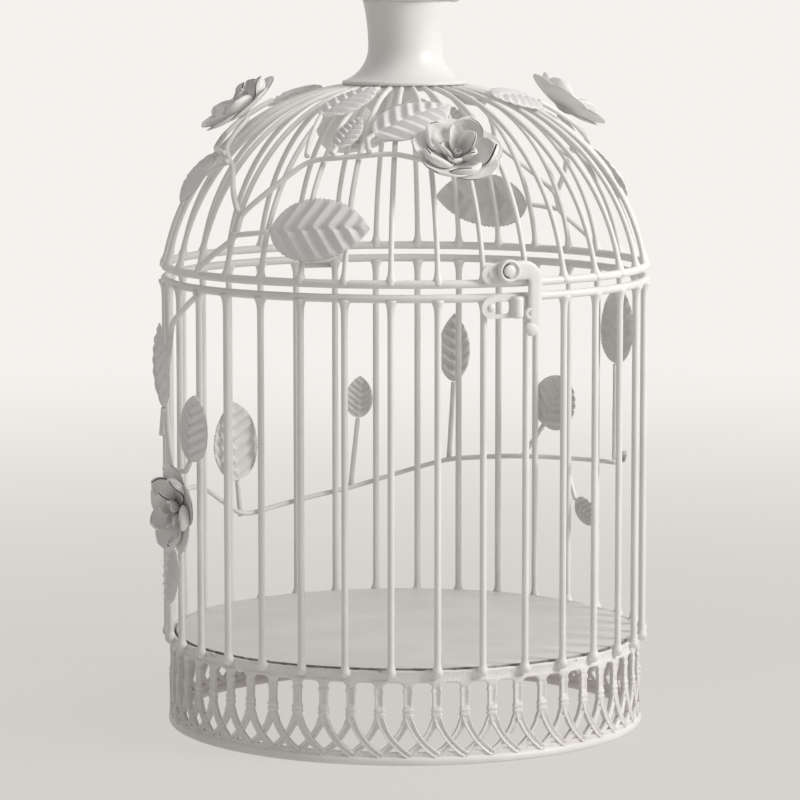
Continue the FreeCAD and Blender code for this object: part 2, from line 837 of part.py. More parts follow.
def rose_heart(press):
    """Shank through the petals that opens into a small cup inside the inner ones."""
    shank = rose_shank / 2
    seat = 3 * (petal_sheet + weld_gap)
    steepness = press * inner_petal_rise / (inner_petal_radius - shank - rose_fit)
    cup = seat + (bud_radius - shank) * steepness
    top = cup + bud_height
    inside = bud_radius - petal_sheet
    points = [profile(0, weld_gap), profile(shank, weld_gap), profile(shank, seat), profile(bud_radius, cup)]
    points += [profile(bud_radius, top), profile(inside, top), profile(inside, top - bud_hollow)]
    return revolve(points + [profile(0, top - bud_hollow)])


def rose_place(stem_point, outwards):
    """Placement of a rose whose calyx stands on a stem."""
    normal = vector(outwards.x, outwards.y, outwards.z).normalize()
    seat = stem_point + normal * (stem_wire / 2 + weld_gap + rose_calyx)
    return FreeCAD.Placement(seat, FreeCAD.Rotation(UP, normal))


def placed(shape, placement, turn):
    copy = shape.copy()
    copy.Placement = placement
    return turned(copy, turn)


# Lid vine: bearing, slope and lift of the places that its stems and leaves pass
on_stem = 1 + stem_seat
front_rose_place = [-9.5, 40.0, 0]
side_rose_place = [-98.7, 54.5, 0.35]
vine_main = [[-77.4, 9.6, 0.2], [-66.2, 18.7, 0], [-66.3, 25.0, 0], [-51.2, 41.6, 0], [-27.0, 44.3, 0]]
vine_main.append(front_rose_place)
vine_rise = [[-66.3, 25.0, on_stem], [-77.7, 37.8, 0], [-90.8, 44.0, 0.15], side_rose_place]

# Each leaf of the lid vine: its stalk, its tip and its breadth as a share of its length
high_stalk = [[-51.2, 41.6, on_stem], [-54.4, 50.0, 0.2], [-55.9, 57.5, 0.3]]
crown_stalk = [[-33.4, 43.5, on_stem], [-35.0, 48.6, 0.3], [-33.4, 50.4, 0.2]]
rear_stalk = [[-84.2, 40.9, on_stem + stem_seat], [-97.0, 42.8, 0.5]]
rear_stalk += [[-108.0, 51.0, 0.3], [-118.0, 63.0, 0.2]]
vine_leaves = {
    "big_leaf": ([[-66.2, 18.7, on_stem], [-56.4, 20.5, 0.2]], [-31.3, 22.1, 0.2], 0.63),
    "side_leaf": ([[-79.5, 38.65, on_stem], [-91.0, 35.0, 0.2]], [-113.0, 31.0, 0.1], 0.7),
    "high_leaf": (high_stalk, [-41.0, 75.0, 0.3], 0.61),
    "slim_leaf": ([[-43.8, 42.4, on_stem], [-43.4, 44.6, 0.8]], [-39.0, 56.5, 0.8], 0.56),
    "crown_leaf": (crown_stalk, [-4.0, 63.0, 0.3], 0.62),
    "rear_leaf": (rear_stalk, [-154.4, 68.1, 0.1], 0.63),
}
vine_turns = {"front": 0, "rear": 180}

# Garland round the bars: bearing, share of the body's height and lift
garland_rose_place = [-82.5, 0.393, 0]
garland_main = [[-77.5, 0.982, 0.2], [-91.0, 0.89, 0], [-95.4, 0.663, 0], [-92.0, 0.491, 0]]
garland_main += [garland_rose_place, [-112.0, 0.337, 0], [-144.0, 0.362, 0], [-160.0, 0.245, 0]]
garland_main += [[-190.0, 0.307, 0], [-214.0, 0.393, 0], [-231.0, 0.411, 0], [-264.9, 0.429, 0]]

# Each leaf of the garland: its stalk, its tip and its breadth as a share of its length
garland_leaves = [
    ([[-92.0, 0.491, on_stem], [-82.0, 0.497, 0.4], [-80.5, 0.525, 0.25]], [-78.1, 0.712, 0.25], 0.82),
    ([[-94.2, 0.583, on_stem], [-92.1, 0.66, 1.2]], [-94.9, 0.893, 1.2], 0.66),
    ([[-87.5, 0.3835, on_stem], [-89.5, 0.28, 0.25]], [-95.0, 0.105, 0.25], 0.72),
    ([[-160.0, 0.245, on_stem], [-158.1, 0.352, 0.25]], [-156.7, 0.59, 0.25], 0.76),
    ([[-190.0, 0.307, on_stem], [-191.6, 0.515, 0.25]], [-192.2, 0.644, 0.25], 0.67),
    ([[-214.0, 0.393, on_stem], [-215.3, 0.625, 0.25]], [-215.6, 0.833, 0.25], 0.48),
    ([[-233.0, 0.412, on_stem], [-239.4, 0.51, 0.25]], [-246.9, 0.656, 0.25], 0.95),
    ([[-244.6, 0.418, on_stem], [-249.5, 0.298, 0.25]], [-257.5, 0.236, 0.25], 0.66),
    ([[-262.6, 0.428, on_stem], [-264.4, 0.717, 0.25]], [-266.7, 0.947, 0.25], 0.82),
    ([[-264.7, 0.429, on_stem], [-266.8, 0.437, 0.6]], [-269.8, 0.468, 0.5], 0.7),
]


def lid_rose_places():
    """Placements of the two roses on a lid vine; the front one looks up more steeply than the dome."""
    places = []
    for place, lean in ((front_rose_place, front_rose_lean), (side_rose_place, 0)):
        bearing = place[0]
        look = place[1] + lean
        outwards = dome_point(bearing, look, 1) - dome_point(bearing, look, 0)
        places.append(rose_place(dome_place(place), outwards))
    return places


def garland_rose():
    bearing = garland_rose_place[0]
    return rose_place(body_place(garland_rose_place), body_point(bearing, 0, 1) - body_point(bearing, 0, 0))


# Assembly


def build_base():
    save("base_skirt", base_skirt())
    save("base_rim", base_rim())
    save("floor_ring", floor_ring())
    save("floor_tray", floor_tray())
    save("cage_bars", cage_bars())
    save("cage_ring", cage_ring())


def build_lid():
    save("lid_ring", lid_ring())
    save("dome_wires", dome_wires())
    save("crown_plate", crown_plate())
    save("cap_neck", cap_neck())
    save("cap_cover", cap_cover())
    save("eye_bolt", eye_bolt())
    save("crown_nut", crown_nut())
    save("hanging_ring", hanging_ring())


def build_hinge_and_latch():
    save("hinge_leaf_body", hinge_leaf_body())
    save("hinge_leaf_lid", hinge_leaf_lid())
    save("hinge_pin", hinge_pin())
    save("latch_plate", latch_plate())
    save("latch_rivet", latch_rivet())
    save("latch_pivot", latch_pivot())
    save("latch_hook", latch_hook())
    save("catch_plate", catch_plate())
    save("catch_post", catch_post())
    save("catch_rivet", catch_rivet())


def build_vines():
    twigs = [dome_stem(vine_rise)] + [dome_stem(stalk) for stalk, tip, breadth in vine_leaves.values()]
    for side, turn in vine_turns.items():
        save(side + "_vine_stem", turned(dome_stem(vine_main), turn))
        save(side + "_vine_twigs", [turned(twig, turn) for twig in twigs])
        for name, (stalk, tip, breadth) in vine_leaves.items():
            save(side + "_" + name, turned(dome_leaf(stalk[-1], tip, breadth), turn))


def build_garland():
    save("garland_stem", body_stem(garland_main))
    save("garland_twigs", [body_stem(stalk) for stalk, tip, breadth in garland_leaves])
    for number, (stalk, tip, breadth) in enumerate(garland_leaves, 1):
        save("garland_leaf_" + str(number), body_leaf(stalk[-1], tip, breadth))


def build_roses():
    layers = {"outer_petals": rose_outer, "middle_petals": rose_middle}
    layers["inner_petals"] = rose_inner
    layers["heart"] = rose_heart
    places = lid_rose_places()
    for name, layer in layers.items():
        lid_copies = [placed(layer(1), place, turn) for place in places for turn in vine_turns.values()]
        save("lid_rose_" + name, lid_copies)
        save("garland_rose_" + name, placed(layer(garland_rose_press), garland_rose(), 0))


os.makedirs("parts", exist_ok=True)
build_base()
build_lid()
build_hinge_and_latch()
build_vines()
build_garland()
build_roses()
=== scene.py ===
import math

import bpy
import numpy as np
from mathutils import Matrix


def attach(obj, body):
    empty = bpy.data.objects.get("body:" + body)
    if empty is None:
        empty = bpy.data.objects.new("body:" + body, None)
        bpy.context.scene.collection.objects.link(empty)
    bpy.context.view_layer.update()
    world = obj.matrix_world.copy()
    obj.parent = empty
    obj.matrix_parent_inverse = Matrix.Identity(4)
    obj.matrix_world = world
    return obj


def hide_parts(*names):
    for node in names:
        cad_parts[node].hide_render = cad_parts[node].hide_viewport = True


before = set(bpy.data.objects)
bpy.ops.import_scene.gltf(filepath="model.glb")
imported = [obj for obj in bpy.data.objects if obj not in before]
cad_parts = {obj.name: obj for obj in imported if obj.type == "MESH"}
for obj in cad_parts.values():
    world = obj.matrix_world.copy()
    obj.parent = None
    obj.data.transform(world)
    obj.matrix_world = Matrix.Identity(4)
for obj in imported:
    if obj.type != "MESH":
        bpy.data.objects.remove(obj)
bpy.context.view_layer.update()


# Base rim
# A hoop of round steel wire under the pierced strip, flattened where it stands.
# It is soldered to the strip all the way round and painted white together with it.

MM = 0.001
rim_radius = 107.27
rim_height = 1.8
rim_wire = 4.6


def around(bearing, radius, height):
    """Points at a bearing in degrees (from the latch towards +X), a radius and a height."""
    angle = np.radians(bearing)
    x, y, z = np.broadcast_arrays(radius * np.sin(angle), -radius * np.cos(angle), height)
    return np.stack([x, y, z], axis=-1)


def swept(path, side, up, section):
    """Sections set along a path, each one's first number along its side and its second along its up."""
    across = section[..., :1] * side[..., None, :]
    upward = section[..., 1:] * up[..., None, :]
    return path[..., None, :] + across + upward


def disc(radius, count):
    """Round sections, one for each radius: the radius times cosine and sine, once round to its start."""
    turn = np.linspace(0, 2 * np.pi, count + 1)
    return np.asarray(radius)[..., None, None] * np.stack([np.cos(turn), np.sin(turn)], axis=-1)


def capped(rows):
    """Close the ends of a swept surface: one more row at each end, drawn together in its middle."""
    first = np.broadcast_to(rows[..., :1, :-1, :].mean(-2, keepdims=True), rows[..., :1, :, :].shape)
    last = np.broadcast_to(rows[..., -1:, :-1, :].mean(-2, keepdims=True), rows[..., -1:, :, :].shape)
    return np.concatenate([first, rows, last], axis=-3)


def quads(patch):
    """Corner numbers of each grid's quads, turned so that the volume they enclose is positive."""
    count, rows, columns = patch.shape[:3]
    number = np.arange(count * rows * columns).reshape(count, rows, columns)
    corners = [number[:, :-1, :-1], number[:, :-1, 1:], number[:, 1:, 1:], number[:, 1:, :-1]]
    faces = np.stack(corners, axis=-1).reshape(-1, 4)
    a, b, c, d = (patch.reshape(-1, 3)[faces[:, k]] for k in range(4))
    volume = np.sum(a * np.cross(b, c)) + np.sum(a * np.cross(c, d))
    return faces if volume > 0 else faces[:, ::-1]


def grid_mesh(name, patches):
    """Mesh of grids of points in millimetres; equal points become one, which closes seams and poles."""
    patches = [patch.reshape(-1, *patch.shape[-3:]) for patch in patches]
    starts = np.cumsum([0] + [patch[..., 0].size for patch in patches])
    faces = np.concatenate([quads(patch) + start for patch, start in zip(patches, starts)])
    points = np.concatenate([patch.reshape(-1, 3) for patch in patches])
    points, number = np.unique(np.round(points, 5), axis=0, return_inverse=True)
    triangles = number.reshape(-1)[np.concatenate([faces[:, [0, 1, 2]], faces[:, [0, 2, 3]]])]
    whole = (np.diff(triangles, axis=1) != 0).all(axis=1) & (triangles[:, 0] != triangles[:, 2])
    mesh = bpy.data.meshes.new(name)
    mesh.from_pydata((points * MM).tolist(), [], triangles[whole].tolist())
    mesh.shade_smooth()
    return mesh


def piece(name, body, patches, material, nodes):
    """Object made of grids of points that stands for CAD nodes and moves with their body."""
    mesh = grid_mesh(name, patches)
    mesh.materials.append(material)
    made = bpy.data.objects.new(name, mesh)
    bpy.context.scene.collection.objects.link(made)
    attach(made, body)
    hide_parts(*nodes)
    return made


class Shade:
    """A socket of a material's node tree that can be calculated with."""

    def __init__(self, tree, socket=None):
        self.tree = tree
        self.socket = socket

    def node(self, kind, settings, inputs, output=0):
        """Add a node of a kind with its settings, and its inputs as values or other sockets."""
        made = self.tree.nodes.new(kind)
        for key, value in settings.items():
            setattr(made, key, value)
        for key, value in inputs.items():
            if isinstance(value, Shade):
                self.tree.links.new(value.socket, made.inputs[key])
            else:
                made.inputs[key].default_value = value
        return Shade(self.tree, made.outputs[output])

    def math(self, operation, *values):
        return self.node("ShaderNodeMath", {"operation": operation}, dict(enumerate(values)))

    def __add__(self, other):
        return self.math("ADD", self, other)

    def __sub__(self, other):
        return self.math("SUBTRACT", self, other)

    def __rsub__(self, other):
        return self.math("SUBTRACT", other, self)

    def __mul__(self, other):
        return self.math("MULTIPLY", self, other)

    __radd__ = __add__
    __rmul__ = __mul__

    def between(self, low, high):
        """Zero below low, one above high and a smooth change in the middle."""
        inputs = {"Value": self, "From Min": low, "From Max": high}
        return self.node("ShaderNodeMapRange", {"interpolation_type": "SMOOTHSTEP"}, inputs)

    def noise(self, place, scale, detail=3.0):
        return self.node("ShaderNodeTexNoise", {}, {"Vector": place, "Scale": scale, "Detail": detail})

    def blend(self, first, second):
        """Colour between two, by this socket's value."""
        return self.node("ShaderNodeMix", {"data_type": "RGBA"}, {0: self, 6: first, 7: second}, 2)


def colour(red, green, blue):
    return (red, green, blue, 1.0)


def paint(name, white, shade, gloss=0.45, lump_scale=420.0, lump_depth=0.00012, marks=None, mark=None):
    """Satin paint: a slow drift between two whites, a mottled gloss, brush lumps, and marks where given.

    marks makes a mask between zero and one from the piece's own coordinates, and mark is its colour.
    """
    drift_scale, mottle_scale, mottle_share, bump, specular = 26.0, 190.0, 0.2, 0.6, 0.4
    material = bpy.data.materials.new(name)
    material.use_nodes = True
    tree = material.node_tree
    start = Shade(tree)
    place = start.node("ShaderNodeTexCoord", {}, {}, "Object")
    drift = start.noise(place, drift_scale).between(0.32, 0.68)
    mottle = start.noise(place, mottle_scale) - 0.5
    base = drift.blend(white, shade)
    if marks:
        base = marks(place).blend(base, mark)
    lumps = start.noise(place, lump_scale, 4.0) + 0.5 * start.noise(place, lump_scale / 5)
    raised = {"Strength": bump, "Distance": lump_depth, "Height": lumps}
    normal = start.node("ShaderNodeBump", {}, raised)
    shader = tree.nodes["Principled BSDF"]
    tree.links.new(base.socket, shader.inputs["Base Color"])
    tree.links.new((mottle * mottle_share + gloss).socket, shader.inputs["Roughness"])
    tree.links.new(normal.socket, shader.inputs["Normal"])
    shader.inputs["Specular IOR Level"].default_value = specular
    return material


rim_white = colour(0.83, 0.82, 0.795)
rim_shade = colour(0.77, 0.757, 0.73)
wire_paint = paint("wire_paint", rim_white, rim_shade)


def base_rim():
    """The wire's round section carried round the base, cut off flat at height zero, where it stands."""
    bearing = np.linspace(0, 360, 289)
    path = around(bearing, rim_radius, rim_height)
    up = np.broadcast_to([0.0, 0.0, 1.0], path.shape)
    rows = swept(path, around(bearing, 1.0, 0.0), up, disc(np.full(bearing.shape, rim_wire / 2), 18))
    rows[..., 2] = np.maximum(rows[..., 2], 0)
    return rows


piece("base_rim_wire", "cage_body", [base_rim()], wire_paint, ["base_rim"])


# Pierced base strip
# A strip of cast ornament bent round the base: a band, fluted columns with collars, and crossed legs.
# It stands on the rim, and the bars are welded to its band.

strip_face = 108.27
strip_depth = 2.0
strip_foot = 4.1
column_count = 54
column_bearings = -22.6 + np.arange(column_count)[:, None, None] * 360 / column_count
column_foot = 18.8
column_top = 37.6
column_half = 1.95
collar_heights = (22.2, 24.4)
capital_height = 32.9
flare_foot = 34.1
flare_bend = 2.4
flute_foot = 26.0
flute_top = 35.0
flute_depth = 0.85
pitch = 2 * math.pi * strip_face / column_count
band_low = 36.5
band_top = 42.0
leg_bend = 30.3
leg_side = 22.9 + pitch / 2
leg_rise = 25.8
leg_half = 1.5
leg_front = 0.7
leg_flute = 0.95


def swell(x, middle, width):
    """Rounded swelling of height one about a middle: the exponential of minus the squared distance."""
    return np.exp(-((x - middle) / width) ** 2)


def on_strip(bearing, across, lift, height):
    """Points of the strip, a distance across from a bearing and a lift above its outer face."""
    return around(bearing + np.degrees(across / strip_face), strip_face + lift, height)


def relief(half, rise, flute, count):
    """Section of a raised bar: a rounded front of the given rise with a flute, and a flat back."""
    turn = np.linspace(0, 2 * np.pi, count + 1)
    c, s = np.cos(turn), np.sin(turn)
    across = half * np.sign(c) * np.abs(c) ** 0.7
    front = rise * np.abs(s) ** 0.6 - flute * swell(c, 0, 0.38)
    return across, np.where(s > 1e-9, front, -strip_depth * np.abs(s) ** 0.5)


def columns():
    """Each column: a fluted shaft that swells at two collars and a capital, and flares into the band."""
    height = np.linspace(column_foot, column_top, 42)[:, None]
    collars = sum(swell(height, place, 0.8) for place in collar_heights)
    capital = swell(height, capital_height, 0.8)
    above = np.clip(height - flare_foot, 0, flare_bend)
    flare = flare_bend - np.sqrt(flare_bend ** 2 - above ** 2)
    half = column_half + 0.6 * collars + 0.45 * capital + flare
    rise = 0.5 + 0.5 * collars + 0.3 * capital
    flute = flute_depth * np.clip(height - flute_foot, 0, 1) * np.clip(flute_top - height, 0, 1)
    across, lift = relief(half, rise, flute, 18)
    return capped(on_strip(column_bearings, across, lift, height))


def legs(hand, over):
    """Straps down from each column along a circle to the rim; hand is 1 to the right, -1 to the left."""
    u = np.linspace(-0.3, 1.05 * pitch, 18)[:, None]
    depth = np.sqrt(leg_bend ** 2 - (u - leg_side) ** 2)
    height = strip_foot + leg_rise - depth
    slope = (u - leg_side) / depth
    across, lift = relief(leg_half + 0.4 * swell(u, 1.1, 0.8), leg_front, leg_flute, 20)
    length = np.sqrt(1 + slope ** 2)
    u, height = u - across * slope / length, height + across / length
    return capped(on_strip(column_bearings, hand * u, lift + over, height))


def strip_ring(low, high, beads):
    """Closed ring of the strip between two heights; beads are (height, lift) of mouldings round it."""
    turn = np.linspace(0, 2 * np.pi, 29)
    middle, half = (low + high) / 2, (high - low) / 2
    height = middle + half * np.sign(np.sin(turn)) * np.abs(np.sin(turn)) ** 0.6
    front = 0.1 + sum(rise * swell(height, place, 0.55) for place, rise in beads)
    lift = np.where(np.cos(turn) > 0, front, -strip_depth) * np.abs(np.cos(turn)) ** 0.35
    bearing = np.linspace(0, 360, 217)[:, None]
    wave = 0.09 * np.sin(np.radians(bearing * 41)) + 0.07 * np.sin(np.radians(bearing * 97))
    return around(bearing, strip_face + lift + 0.5 * wave, height + wave * (height > middle))


def strip_rubs_and_gap_shadow(place):
    """Grey rub marks scattered thinly over the strip, and painted shadow of the floor gap along the
    band's top edge.
    """
    height = place.node("ShaderNodeSeparateXYZ", {}, {0: place}, "Z")
    edge = height.between((band_top - 2.5) * MM, (band_top - 0.2) * MM)
    spots = place.noise(place, 320.0, 5.0).between(0.6, 0.68)
    return spots * (0.16 + 0.5 * edge)


cast_white = colour(0.83, 0.818, 0.795)
cast_shade = colour(0.74, 0.725, 0.7)
# Grey of the rub marks, and of the painted shadow along the band's top edge.
rub_and_shadow_grey = colour(0.36, 0.34, 0.315)
cast_paint = paint("cast_paint", cast_white, cast_shade, gloss=0.5, lump_scale=460.0,
                   lump_depth=0.0006, marks=strip_rubs_and_gap_shadow, mark=rub_and_shadow_grey)
band = strip_ring(band_low, band_top, [(37.2, 0.35), (41.3, 0.3)])
sill = strip_ring(strip_foot - 0.8, strip_foot + 1.7, [])
strip = [columns(), legs(1, 0.3), legs(-1, 0.0), band, sill]
piece("base_strip_casting", "cage_body", strip, cast_paint, ["base_skirt"])


# Floor
# A round sheet of painted steel that lies loose on a wire soldered inside the strip.
# Its edge is darkened with painted shadow, where the gap to the strip lies in shade.

# Radii where the painted shadow at the floor's edge starts and where it is full.
gap_shadow_start = 105.9
gap_shadow_full = 107.1


def floor_gap_shadow_mask(place):
    """Painted shadow that grows towards the rim of the floor: distance from the axis, broken up by
    noise.
    """
    flat = place.node("ShaderNodeVectorMath", {"operation": "MULTIPLY"}, {0: place, 1: (1.0, 1.0, 0.0)})
    distance = place.node("ShaderNodeVectorMath", {"operation": "LENGTH"}, {0: flat}, "Value")
    ragged = distance + 0.0016 * place.noise(place, 180.0)
    return ragged.between(gap_shadow_start * MM, gap_shadow_full * MM)


def dress(material, *nodes):
    """Give CAD nodes that are shown as they are a material."""
    for node in nodes:
        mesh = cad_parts[node].data
        mesh.materials.clear()
        mesh.materials.append(material)


floor_white = colour(0.8, 0.785, 0.76)
floor_shade = colour(0.74, 0.722, 0.695)
# Dark grey of the painted shadow along the floor's edge.
gap_shadow_grey = colour(0.16, 0.145, 0.13)
floor_paint = paint("floor_paint", floor_white, floor_shade, gloss=0.55, lump_scale=260.0,
                    lump_depth=0.0001, marks=floor_gap_shadow_mask, mark=gap_shadow_grey)
dress(floor_paint, "floor_tray", "floor_ring")


# Cage bars
# Upright steel wires whose feet lap over the strip and end in a drop of weld.
# Their heads are welded under the cage ring, and the paint runs into the corners there.

cage_radius = 110.0
bar_wire = 3.0
bar_count = 34
bar_bearings = (np.arange(bar_count) + 0.5) * 360 / bar_count
bar_foot = 38.7
foot_reach = 8.5
head_reach = 12.0
drop_heights = (40.9, 41.9)
drop_swells = (0.75, 1.25)
head_flares = (1.0, 1.5)
joint_radius = 2.9
cage_ring_height = 205.0
ring_wire = 3.7


def bars():
    """Round wires; the radius swells into a drop at the foot and flares into the ring at the head."""
    random = np.random.default_rng(5)
    foot = np.linspace(bar_foot, bar_foot + foot_reach, 16)
    head = np.linspace(cage_ring_height - head_reach, cage_ring_height - 0.6, 16)
    height = np.concatenate([foot, np.linspace(58, 186, 6), head])
    drop = random.uniform(*drop_swells, (bar_count, 1))
    place = random.uniform(*drop_heights, (bar_count, 1))
    flare = random.uniform(*head_flares, (bar_count, 1))
    radius = bar_wire / 2 + drop * swell(height, place, 2.1)
    radius = radius + flare * np.exp((height - cage_ring_height + 1.8) / 1.9)
    round_end = 1 - np.clip((height - bar_foot) / 1.9, 0, 1)
    radius = np.minimum(radius, joint_radius) * np.sqrt(1 - 0.96 * round_end ** 2)
    path = around(bar_bearings[:, None], cage_radius, height[None, :])
    side = np.broadcast_to(around(bar_bearings[:, None] + 90, 1.0, 0.0), path.shape)
    outward = np.broadcast_to(around(bar_bearings[:, None], 1.0, 0.0), path.shape)
    return capped(swept(path, side, outward, disc(radius, 14)))


piece("cage_bar_wires", "cage_body", [bars()], wire_paint, ["cage_bars"])


# Cage ring
# The hoop of round wire that closes the top of the cage; the bars end under it.
# The lid's own ring comes to lie just above it.


def hoop(height):
    """Round section carried round the cage at a height, with a slight unevenness of hand bending."""
    bearing = np.linspace(0, 360, 361)
    path = around(bearing, cage_radius, height)
    uneven = 1 + 0.012 * np.sin(np.radians(bearing * 17)) + 0.01 * np.sin(np.radians(bearing * 45))
    up = np.broadcast_to([0.0, 0.0, 1.0], path.shape)
    return swept(path, around(bearing, 1.0, 0.0), up, disc(ring_wire / 2 * uneven, 16))


piece("cage_ring_wire", "cage_body", [hoop(cage_ring_height)], wire_paint, ["cage_ring"])


# Hinge
# Two flat steel leaves welded behind the two rings, with knuckles on one pin.
# All three pieces were painted with the cage.

hinge_white = colour(0.82, 0.808, 0.785)
hinge_shade = colour(0.7, 0.685, 0.66)
hinge_paint = paint("hinge_paint", hinge_white, hinge_shade, gloss=0.5, lump_scale=600.0,
                    lump_depth=0.00018)
dress(hinge_paint, "hinge_leaf_body", "hinge_leaf_lid", "hinge_pin")


# Catch
# A small plate welded to the front of the cage ring, with an opening, a rivet and a rolled post.
# The latch hook closes against the post.

plate_front = 113.25
catch_height = 200.8
plate_half = 4.7
post_place = (3.6, -114.25)
post_radius = 2.8
rivet_across = -8.2


def lathe(profile, count):
    """Profile points (radius, height) turned once about the axis."""
    radius, height = np.asarray(profile, float).T[..., None]
    return around(np.linspace(0, 360, count + 1), radius, height)


def facing_front(rows, x, y, z):
    """Lay a turned shape down so that its axis points to the front, and put it in its place."""
    return np.stack([rows[..., 0] + x, -rows[..., 2] + y, rows[..., 1] + z], axis=-1)


def rivet(radius, rise, x, y, z):
    """Domed head: a quarter circle stretched to the head's radius and rise, with a flat back."""
    turn = np.linspace(np.pi / 2, 0, 9)
    profile = np.stack([radius * np.cos(turn), rise * np.sin(turn)], axis=-1)
    return facing_front(lathe(np.concatenate([profile, [[radius, -0.6], [0, -0.6]]]), 20), x, y, z)


def post():
    """Upright round bar with rounded ends."""
    height = np.linspace(-plate_half, plate_half, 25)
    ends = np.clip((np.abs(height) - plate_half + 1.2) / 1.2, 0, 1)
    radius = post_radius * (1 - 0.35 * (1 - np.sqrt(1 - ends ** 2)))
    rows = lathe(np.stack([radius, height + catch_height], axis=-1), 22)[None]
    return capped(rows + [post_place[0], post_place[1], 0])


latch_white = colour(0.83, 0.817, 0.79)
latch_shade = colour(0.76, 0.745, 0.715)
latch_paint = paint("latch_paint", latch_white, latch_shade, gloss=0.42, lump_scale=380.0,
                    lump_depth=0.0003)
dress(latch_paint, "catch_plate")
piece("catch_post_bar", "cage_body", [post()], latch_paint, ["catch_post"])
catch_head = rivet(1.7, 1.0, rivet_across, -plate_front, catch_height)
piece("catch_rivet_head", "cage_body", [catch_head], latch_paint, ["catch_rivet"])


# Garland
# A vine of bent wire that winds round the bars, with pressed leaves on short stalks and one rose.
# The stem and stalks are brazed together, and the leaves are brazed to the ends of the stalks.

body_stem_radius = 113.3
body_foot = 42.0
body_rise = 163.0
stem_wire = 2.6
on_stem = 1.08
leaf_sheet = 0.8
leaf_bend = 80.0
leaf_fold = 10.0
leaf_broadest = 0.45
leaf_teeth = 23
leaf_veins = 6.5
rose_calyx = 2.0
rose_gap = 0.05
garland_rose_press = 0.77
garland_rose_breadth = 0.74
garland_rose = (-82.5, 0.393, 0)
garland_stem = [
    (-77.5, 0.982, 0.2), (-91, 0.89, 0), (-95.4, 0.663, 0), (-92, 0.491, 0), garland_rose,
    (-112, 0.337, 0), (-144, 0.362, 0), (-160, 0.245, 0), (-190, 0.307, 0), (-214, 0.393, 0),
    (-231, 0.411, 0), (-264.9, 0.429, 0),
]
garland_leaves = [
    ([(-92, 0.491, on_stem), (-82, 0.497, 0.4), (-80.5, 0.525, 0.25)], (-78.1, 0.712, 0.25), 0.82),
    ([(-94.2, 0.583, on_stem), (-92.1, 0.66, 1.2)], (-94.9, 0.893, 1.2), 0.66),
    ([(-87.5, 0.3835, on_stem), (-89.5, 0.28, 0.25)], (-95, 0.105, 0.25), 0.72),
    ([(-160, 0.245, on_stem), (-158.1, 0.352, 0.25)], (-156.7, 0.59, 0.25), 0.76),
    ([(-190, 0.307, on_stem), (-191.6, 0.515, 0.25)], (-192.2, 0.644, 0.25), 0.67),
    ([(-214, 0.393, on_stem), (-215.3, 0.625, 0.25)], (-215.6, 0.833, 0.25), 0.48),
    ([(-233, 0.412, on_stem), (-239.4, 0.51, 0.25)], (-246.9, 0.656, 0.25), 0.95),
    ([(-244.6, 0.418, on_stem), (-249.5, 0.298, 0.25)], (-257.5, 0.236, 0.25), 0.66),
    ([(-262.6, 0.428, on_stem), (-264.4, 0.717, 0.25)], (-266.7, 0.947, 0.25), 0.82),
    ([(-264.7, 0.429, on_stem), (-266.8, 0.437, 0.6)], (-269.8, 0.468, 0.5), 0.7),
]


def unit(vectors):
    return vectors / np.linalg.norm(vectors, axis=-1, keepdims=True)


def on_body(places):
    """Points beside the bars and directions outwards, from (bearing, share of height, lift in stems)."""
    bearing, share, lift = np.asarray(places, float).T
    points = around(bearing, body_stem_radius + lift * stem_wire, body_foot + share * body_rise)
    return points, around(bearing, 1.0, 0.0)


def route(places, steps=14):
    """Many places evenly between the given ones, each averaged over five so that corners round off."""
    places = np.asarray(places, float)
    fine = np.linspace(0, len(places) - 1, steps * (len(places) - 1) + 1)
    line = np.stack([np.interp(fine, np.arange(len(places)), column) for column in places.T], axis=-1)
    padded = np.concatenate([line[:1].repeat(2, 0), line, line[-1:].repeat(2, 0)])
    middle = sum(padded[k:k + len(line)] for k in range(5)) / 5
    middle[[0, -1]] = line[[0, -1]]
    return middle


def stem(points, outward):
    """Round wire along points; it thins a little to its end and has lumps of braze along it."""
    along = unit(np.gradient(points, axis=0))
    side = unit(np.cross(along, outward))
    travel = np.linspace(0, 1, len(points))
    radius = stem_wire / 2 * (0.985 - 0.11 * travel + 0.05 * np.sin(23 * travel) * np.sin(9 * travel))
    return capped(swept(points, side, np.cross(side, along), disc(radius, 12))[None])


